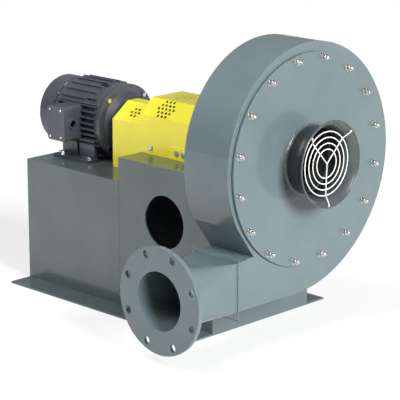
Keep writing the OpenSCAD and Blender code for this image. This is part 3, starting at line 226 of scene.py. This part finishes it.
def metal(name, colour, deep, rough=(0.22, 0.4), lay=None, depth=0.02, rust=None):
    """Bare or plated metal with a lay of fine marks and darker stains."""
    f = Finish(name, Metallic=1.0)
    stains = f.noise(9 * MM, 4)
    body = f.mix(f.ramp(stains, 0.4, 0.72), colour, deep)
    if rust:
        spots = f.ramp(f.noise(5 * MM, 5), 0.6, 0.72, 0.0, 0.5)
        body = f.mix(spots, body, rust)
    f.link(body, "Base Color")
    marks = f.noise(0.9 * MM, 2, lay)
    uneven = f.ramp(marks, 0.3, 0.7, -0.05, 0.05)
    f.link(f.maths("ADD", f.ramp(stains, 0.3, 0.7, *rough), uneven), "Roughness")
    f.bump((marks, depth * MM))
    return f.material


def dull(name, colour, deep, rough=(0.55, 0.8), grain=1.2, depth=0.08, stretch=None, sheen=0.0):
    """Rubber, felt, gasket sheet or moulded plastic with a fine grain."""
    f = Finish(name, Sheen_Weight=sheen)
    patches = f.noise(16 * MM, 4)
    fine = f.noise(grain * MM, 3, stretch)
    body = f.mix(f.ramp(patches, 0.35, 0.7), colour, deep)
    f.link(f.mix(f.ramp(fine, 0.4, 0.8, 0.0, 0.35), body, deep), "Base Color")
    f.link(f.ramp(fine, 0.3, 0.7, *rough), "Roughness")
    f.bump((fine, depth * MM))
    return f.material


def wound_copper():
    """Enamelled copper strands laid round the ends of the stator."""
    f = Finish("winding_copper", Metallic=0.85)
    place = f.add("Mapping", Vector=f.place, Location=(0, 0, -SHAFT_Z)).outputs[0]
    strands = f.add("TexWave", {"wave_type": "RINGS", "rings_direction": "X"}, Vector=place,
                    Scale=260.0, Distortion=2.0, Detail=2.0).outputs["Fac"]
    f.link(f.mix(strands, tint(120, 58, 30), tint(196, 112, 62)), "Base Color")
    f.link(f.ramp(f.noise(6 * MM), 0.3, 0.7, 0.28, 0.45), "Roughness")
    f.bump((strands, 0.3 * MM))
    return f.material


housing_paint = enamel("housing_paint", tint(96, 111, 115), tint(88, 103, 107), tint(150, 161, 165))
pedestal_paint = enamel("pedestal_paint", tint(84, 97, 98), tint(76, 89, 90), tint(134, 144, 144))
bell_paint_and_shade = bell_enamel_shade_and_highlight()
# The inlet cone's very dark paint is painted shade for the deep inside of the housing.
cone_painted_shade = enamel("cone_painted_shade", tint(46, 49, 51), tint(36, 38, 40), tint(96, 100, 102), dust=0.04)
guard_paint = enamel("guard_paint", tint(252, 240, 62), tint(246, 230, 48), tint(255, 248, 150), dust=0.04)
motor_paint = enamel("motor_paint", tint(72, 75, 85), tint(58, 61, 70), tint(136, 139, 146),
                     (0.26, 0.4), grain=0.12)
block_paint = enamel("block_paint", tint(58, 84, 110), tint(46, 70, 96), tint(120, 140, 158),
                     (0.34, 0.5), grain=0.15)
zinc_hardware = metal("zinc_hardware", tint(222, 222, 218), tint(176, 178, 176), (0.18, 0.34))
guard_wire = enamel("guard_wire", tint(240, 240, 234), tint(224, 224, 216), tint(250, 250, 248), dust=0.0)
# The wheel's dark steel also carries painted shade for the deep inside of the housing; its rust spots are
# real stains.
wheel_steel = metal("wheel_steel", tint(92, 95, 98), tint(66, 68, 71), (0.36, 0.54), rust=tint(84, 58, 44))
machined_steel = metal("machined_steel", tint(200, 202, 204), tint(160, 162, 165), (0.16, 0.3),
                       (1, 12, 12), 0.03)
dark_iron = metal("dark_iron", tint(74, 74, 76), tint(52, 52, 54), (0.42, 0.6), depth=0.08)
core_steel = metal("core_steel", tint(120, 122, 128), tint(92, 94, 100), (0.35, 0.5), (40, 1, 1), 0.06)
gasket_rubber = dull("gasket_rubber", tint(46, 47, 48), tint(32, 33, 34))
seal_felt = dull("seal_felt", tint(186, 180, 164), tint(150, 143, 126), (0.85, 1.0),
                 0.7, 0.25, (1, 3, 3), 0.4)
spider_rubber = dull("spider_rubber", tint(34, 35, 38), tint(22, 22, 24), (0.4, 0.6))
fan_plastic = dull("fan_plastic", tint(44, 46, 50), tint(32, 33, 36), (0.35, 0.55), 2.0, 0.04)
winding_copper = wound_copper()

FINISH_OF = {
    housing_paint: """scroll_wrap scroll_back_plate scroll_front_plate cutoff_plate outlet_transition
        outlet_flange inlet_cover_plate""",
    bell_paint_and_shade: "inlet_bell",
    cone_painted_shade: "inlet_cone",
    pedestal_paint: """motor_base_top motor_base_walls bearing_base_top bearing_base_front_wall
        bearing_base_back_wall bearing_base_end_walls""",
    guard_paint: "coupling_guard bearing_guard guard_access_tab guard_brackets",
    motor_paint: """motor_frame motor_drive_endbell motor_fan_endbell motor_fan_cover conduit_box
        conduit_box_lid""",
    block_paint: "bearing_block_fan_end bearing_block_drive_end",
    zinc_hardware: """cover_studs cover_washers cover_nuts wheel_hub_bolts wheel_end_washer wheel_end_bolt
        bearing_block_bolts motor_endbell_bolts motor_foot_bolts guard_screws shaft_seal_plate""",
    guard_wire: "inlet_wire_guard",
    wheel_steel: "wheel_backplate wheel_shroud wheel_blades wheel_hub",
    machined_steel: """fan_shaft fan_shaft_keys bearing_outer_rings fan_bearing_inner_rings bearing_balls
        motor_shaft motor_shaft_key motor_bearing_inner_rings""",
    dark_iron: "coupling_hub_fan coupling_hub_motor",
    core_steel: "motor_stator motor_rotor",
    gasket_rubber: "cover_gasket",
    seal_felt: "shaft_seal_felt",
    spider_rubber: "coupling_spider",
    fan_plastic: "motor_cooling_fan",
    winding_copper: "motor_windings",
}
for finish, names in FINISH_OF.items():
    for name in names.split():
        nodes[name].data.materials.clear()
        nodes[name].data.materials.append(finish)


# ---- Shapes ----

def piece(name, bm, finish, body=STATIC, replaces=()):
    """Turns a bmesh into a piece that rides on a body, with soft faces and sharp edges."""
    bmesh.ops.recalc_face_normals(bm, faces=bm.faces)
    mesh = bpy.data.meshes.new(name)
    bm.to_mesh(mesh)
    bm.free()
    mesh.materials.append(finish)
    mesh.shade_smooth()
    mesh.set_sharp_from_angle(angle=math.radians(38))
    made = bpy.data.objects.new(name, mesh)
    bpy.context.scene.collection.objects.link(made)
    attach(made, body)
    if replaces:
        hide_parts(*replaces)
    return made


def rings(bm, loops, closed=False, capped=True):
    """Skins a row of loops of points that all have the same count."""
    rows = [[bm.verts.new(p) for p in loop] for loop in loops]
    pairs = list(zip(rows, rows[1:])) + ([(rows[-1], rows[0])] if closed else [])
    for a, b in pairs:
        for i in range(len(a)):
            j = (i + 1) % len(a)
            bm.faces.new((a[i], a[j], b[j], b[i]))
    if capped and not closed:
        bm.faces.new(rows[0][::-1])
        bm.faces.new(rows[-1])


def around(place, axis, radius, along, turn=0.0):
    """A point at a radius and turn about an axis through a place."""
    side = axis.orthogonal().normalized()
    return place + axis * along + Matrix.Rotation(turn, 3, axis) @ side * radius


def lathe(bm, place, axis, profile, count=24, closed=False):
    """Turns a profile of (radius, distance along the axis) about an axis."""
    turns = [2 * math.pi * i / count for i in range(count)]
    rings(bm, [[around(place, axis, r, along, t) for t in turns] for r, along in profile], closed)


def hexagon(bm, place, axis, flats, height, bore=0.0, count=36):
    """A hexagonal head or nut with chamfered corners, standing on a place."""
    inner = flats / 2 * 0.96
    turns = [2 * math.pi * i / count for i in range(count)]
    reach = [flats / 2 / math.cos((t + math.pi / 6) % (math.pi / 3) - math.pi / 6) for t in turns]
    slope = math.tan(math.radians(30))
    top = [around(place, axis, r, height - (r - inner) * slope, t) for r, t in zip(reach, turns)]
    foot = [around(place, axis, r, 0, t) for r, t in zip(reach, turns)]
    crown = [around(place, axis, inner, height, t) for t in turns]
    if bore:
        mouth = [around(place, axis, bore * 1.08, height, t) for t in turns]
        bore_top = [around(place, axis, bore, height - bore * 0.1, t) for t in turns]
        bore_foot = [around(place, axis, bore, 0, t) for t in turns]
        rings(bm, [foot, top, crown, mouth, bore_top, bore_foot], closed=True)
    else:
        rings(bm, [foot, top, crown])


def thread(bm, place, axis, radius, length, pitch, count=20, steps=5):
    """A screw thread with a rounded tip, standing on a place."""
    depth = pitch * 0.5
    tip = radius * 0.25
    rows = []
    for k in range(int(length / pitch * steps) + 1):
        along = min(k * pitch / steps, length - tip)
        row = []
        for i in range(count):
            wave = abs(((along / pitch - i / count) % 1) * 2 - 1)
            row.append(around(place, axis, radius - depth * (1 - wave), along, 2 * math.pi * i / count))
        rows.append(row)
    for r, along in ((radius - depth, length - tip / 2), (radius * 0.6, length)):
        rows.append([around(place, axis, r, along, 2 * math.pi * i / count) for i in range(count)])
    rings(bm, rows)


def evenly(points, step, closed=False):
    """Points at an even step along a line."""
    line = list(points) + ([points[0]] if closed else [])
    lengths = [(b - a).length for a, b in zip(line, line[1:])]
    count = max(2, round(sum(lengths) / step))
    spots, leg, start = [], 0, 0.0
    for i in range(count if closed else count + 1):
        at = sum(lengths) * i / count
        while leg < len(lengths) - 1 and at > start + lengths[leg]:
            start += lengths[leg]
            leg += 1
        spots.append(line[leg].lerp(line[leg + 1], (at - start) / lengths[leg]))
    return spots


BEAD_STEP = 2.2 * MM
# Depth of each ripple of a bead as a share of its radius, and its turn from one step to the next
RIPPLES = ((0.16, 1.9), (0.06, 0.37))


def bead(bm, points, radius, closed=False, sides=8):
    """A weld bead along a line, with the ripples of its run."""
    spots = evenly(points, BEAD_STEP, closed)
    count = len(spots)
    loops = []
    for i, p in enumerate(spots):
        before = spots[i - 1] if closed or i else p
        after = spots[(i + 1) % count] if closed or i < count - 1 else p
        along = (after - before).normalized()
        side = along.orthogonal().normalized()
        if abs(along.dot(X)) < 0.9:
            side = (X - along * along.dot(X)).normalized()
        up = along.cross(side)
        r = radius * (1 + sum(depth * math.sin(i * turn) for depth, turn in RIPPLES))
        turns = [2 * math.pi * k / sides for k in range(sides)]
        loops.append([p + (side * math.cos(t) + up * math.sin(t)) * r for t in turns])
    rings(bm, loops, closed)


def circle(place, axis, radius, count=90):
    """Points of a circle about an axis."""
    return [around(place, axis, radius, 0, 2 * math.pi * i / count) for i in range(count)]


# ---- Studs, nuts and bolts ----

STUD_PITCH = 1.5 * MM
NUT_FLATS = 15 * MM
NUT_BORE = 4.6 * MM


def foot_of(low, high):
    """The middle of the face at a box's low x."""
    return Vector((low.x, (low.y + high.y) / 2, (low.z + high.z) / 2))


def cover_fasteners():
    """Threaded studs and chamfered nuts round the inlet cover."""
    studs, nuts = bmesh.new(), bmesh.new()
    for low, high in solids("cover_studs"):
        thread(studs, foot_of(low, high), X, (high.z - low.z) / 2, high.x - low.x, STUD_PITCH)
    for low, high in solids("cover_nuts"):
        hexagon(nuts, foot_of(low, high), X, NUT_FLATS, high.x - low.x, NUT_BORE)
    piece("stud_threads", studs, zinc_hardware, replaces=["cover_studs"])
    piece("stud_nuts", nuts, zinc_hardware, replaces=["cover_nuts"])


cover_fasteners()


# ---- Welds ----

SEAM_BEAD = 1.2 * MM
NECK_BEAD = 3 * MM
# Radius of the duct's neck as a share of the flange's width
NECK_SHARE = 0.287
STEP_BEAD = 2.4 * MM
STEP_BEAD_INSET = 4 * MM
SIDE_BEAD = 1.3 * MM
SIDE_BEAD_FOOT = 12 * MM


def housing_welds():
    """Beads round the seam of the outlet duct and round the neck of its flange."""
    bm = bmesh.new()
    low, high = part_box("outlet_transition")
    around_duct = ((low.x, low.z), (high.x, low.z), (high.x, high.z), (low.x, high.z))
    bead(bm, [Vector((x, high.y, z)) for x, z in around_duct], SEAM_BEAD, closed=True)
    flange_low, flange_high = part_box("outlet_flange")
    centre = (flange_low + flange_high) / 2
    neck = Vector((centre.x, flange_high.y, centre.z))
    bead(bm, circle(neck, Y, (flange_high.x - flange_low.x) * NECK_SHARE), NECK_BEAD, closed=True)
    piece("housing_welds", bm, housing_paint)


housing_welds()


def pedestal_welds():
    """Beads where the two parts of the pedestal meet, across the step and down both sides."""
    bm = bmesh.new()
    low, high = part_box("motor_base_top")
    ends = (low.y + STEP_BEAD_INSET, high.y - STEP_BEAD_INSET)
    bead(bm, [Vector((high.x, y, high.z)) for y in ends], STEP_BEAD)
    for y in (low.y, high.y):
        bead(bm, [Vector((high.x, y, z)) for z in (SIDE_BEAD_FOOT, high.z)], SIDE_BEAD)
    piece("pedestal_welds", bm, pedestal_paint)


pedestal_welds()


# ---- Small fasteners ----

# Profiles of (radius, height): a round screw head as shares of its radius, and a clip in millimetres
SCREW_PROFILE = ((1, 0), (1, 0.3), (0.85, 0.5), (0.5, 0.66), (0.1, 0.7))
CLIP_PROFILE = ((1.2, 0), (2.6, 0.8), (2.9, 3), (2.6, 6), (1.4, 6.8))
LID_SCREW_RADIUS = 3.6 * MM
LID_SCREW_INSET = 10 * MM
# How much wider the inset is on the side of the conduit hub
LID_SCREW_MORE = 6 * MM
# Turns of the wire guard's spokes, and the setting back of their clips from the rim
SPOKE_TURNS = (44, 133, 268)
CLIP_IN = 10.5 * MM
CLIP_BACK = 3.5 * MM


def turned_profile(bm, place, axis, profile, scale, count):
    """A small turned head standing on a place."""
    lathe(bm, place, axis, [(r * scale, h * scale) for r, h in profile], count)


def conduit_screws():
    """Four screws in the corners of the conduit box's lid."""
    bm = bmesh.new()
    low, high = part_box("conduit_box_lid")
    for x in (low.x + LID_SCREW_INSET, high.x - LID_SCREW_INSET - LID_SCREW_MORE):
        for z in (low.z + LID_SCREW_INSET, high.z - LID_SCREW_INSET):
            turned_profile(bm, Vector((x, low.y, z)), -Y, SCREW_PROFILE, LID_SCREW_RADIUS, 20)
    piece("conduit_lid_screws", bm, zinc_hardware)


def guard_clips():
    """A small clip where each spoke of the wire guard meets the rim of the bell."""
    bm = bmesh.new()
    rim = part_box("inlet_bell")[1]
    for turn in SPOKE_TURNS:
        t = math.radians(turn)
        out = Vector((0, math.cos(t), math.sin(t)))
        place = SHAFT + out * (rim.z - SHAFT_Z - CLIP_IN) + X * (rim.x - CLIP_BACK)
        turned_profile(bm, place, out, CLIP_PROFILE, MM, 16)
    piece("wire_guard_clips", bm, guard_wire)


conduit_screws()
guard_clips()


# ---- Floor, light and camera ----

def stage_floor():
    """A plain pale floor that keeps the object's shadow."""
    bm = bmesh.new()
    half = 30.0
    corners = ((-half, -half), (half, -half), (half, half), (-half, half))
    bm.faces.new([bm.verts.new((x, y, 0)) for x, y in corners])
    mesh = bpy.data.meshes.new("studio_floor")
    bm.to_mesh(mesh)
    bm.free()
    floor = bpy.data.objects.new("studio_floor", mesh)
    bpy.context.scene.collection.objects.link(floor)
    f = Finish("studio_floor", Roughness=1.0, Specular_IOR_Level=0.0)
    f.link(f.mix(f.noise(0.8), (0.5, 0.5, 0.5, 1), (0.52, 0.52, 0.52, 1)), "Base Color")
    seen = seen_rays(f)
    glow = f.add("Emission", Color=(1, 1, 1, 1), Strength=f.maths("MULTIPLY", seen, 0.52)).outputs[0]
    both = f.add("AddShader", i0=f.shader.outputs[0], i1=glow).outputs[0]
    f.tree.links.new(both, f.tree.nodes["Material Output"].inputs["Surface"])
    mesh.materials.append(f.material)


def seen_rays(finish):
    """1 for what the camera sees, also in a reflection or through glass."""
    path = finish.add("LightPath").outputs
    some = finish.maths("MAXIMUM", path["Is Camera Ray"], path["Is Glossy Ray"])
    return finish.maths("MAXIMUM", some, path["Is Transmission Ray"])


class WorldNodes(Finish):
    """The same node helpers, for the world."""

    def __init__(self, world):
        world.use_nodes = True
        self.tree = world.node_tree


def studio_world(fill):
    """Even fill light from a world that is seen as white."""
    world = bpy.data.worlds.new("studio")
    bpy.context.scene.world = world
    f = WorldNodes(world)
    background = f.tree.nodes["Background"]
    background.inputs["Color"].default_value = (1, 1, 1, 1)
    path = f.add("LightPath").outputs
    through = f.maths("MAXIMUM", path["Is Camera Ray"], path["Is Transmission Ray"])
    strength = f.maths("ADD", f.maths("MULTIPLY", through, 1 - fill), fill)
    f.tree.links.new(strength, background.inputs["Strength"])


def lamp(name, kind, place, target, energy, **settings):
    """A lamp at a place that faces a target."""
    data = bpy.data.lights.new(name, kind)
    data.energy = energy
    for key, value in settings.items():
        setattr(data, key, value)
    made = bpy.data.objects.new(name, data)
    bpy.context.scene.collection.objects.link(made)
    made.location = place
    made.rotation_euler = (Vector(target) - Vector(place)).to_track_quat("-Z", "Y").to_euler()


def photo_camera():
    """The photograph's view: its place, its target and its lens."""
    data = bpy.data.cameras.new("photo_camera")
    data.sensor_width = 36.0
    data.lens = 161.7
    data.clip_end = 100.0
    made = bpy.data.objects.new("photo_camera", data)
    bpy.context.scene.collection.objects.link(made)
    place, target = Vector((3.4912, -3.3962, 1.5368)), Vector((0.1468, 0, 0.2916))
    made.location = place
    made.rotation_euler = (target - place).to_track_quat("-Z", "Y").to_euler()
    bpy.context.scene.camera = made


stage_floor()
studio_world(0.25)
lamp("key_light", "SUN", (5, -0.5, 2.3), (0, 0, 0.3), 5.6, angle=math.radians(26))
lamp("left_softbox", "AREA", (0.1, -1.5, 2.3), (0.2, 0, 0.5), 42, shape="RECTANGLE", size=1.4, size_y=1.0)
photo_camera()
bpy.context.scene.view_settings.view_transform = "Standard"
